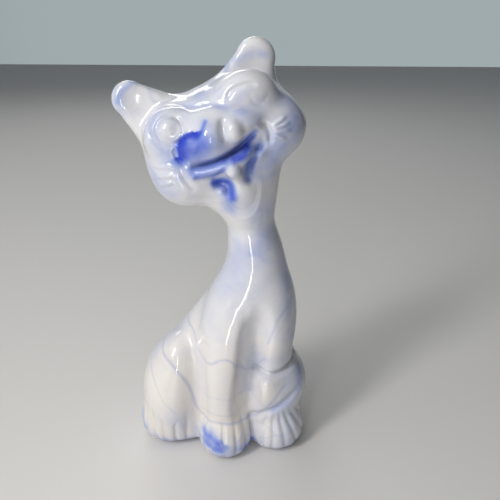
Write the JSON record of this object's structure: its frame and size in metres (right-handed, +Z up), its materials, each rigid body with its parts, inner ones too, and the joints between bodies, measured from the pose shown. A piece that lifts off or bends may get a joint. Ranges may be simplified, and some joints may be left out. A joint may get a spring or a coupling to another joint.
{
  "type": "cat figurine",
  "caption": "Ornamental sitting cat with a tilted, winking and grinning head, in glossy blue-marbled white ceramic, hollow and open underneath.",
  "frame": {"origin": "on the table, under the middle of the figure's bounding box", "axes": "+Z up, the cat's body faces -Y, +X is the cat's left"},
  "size_m": [0.089, 0.07, 0.2032],
  "materials": {
    "marbled_glaze": "high gloss, white with cobalt and pale blue swirls through the body"
  },
  "bodies": {
    "root": {"trunk": "marbled_glaze", "head": "marbled_glaze", "lower_jaw": "marbled_glaze", "ear_right": "marbled_glaze", "ear_left": "marbled_glaze", "forelegs": "marbled_glaze", "front_paws": "marbled_glaze", "haunch_right": "marbled_glaze", "haunch_left": "marbled_glaze", "hind_paw_right": "marbled_glaze", "hind_paw_left": "marbled_glaze", "tail": "marbled_glaze"}
  },
  "joints": []
}
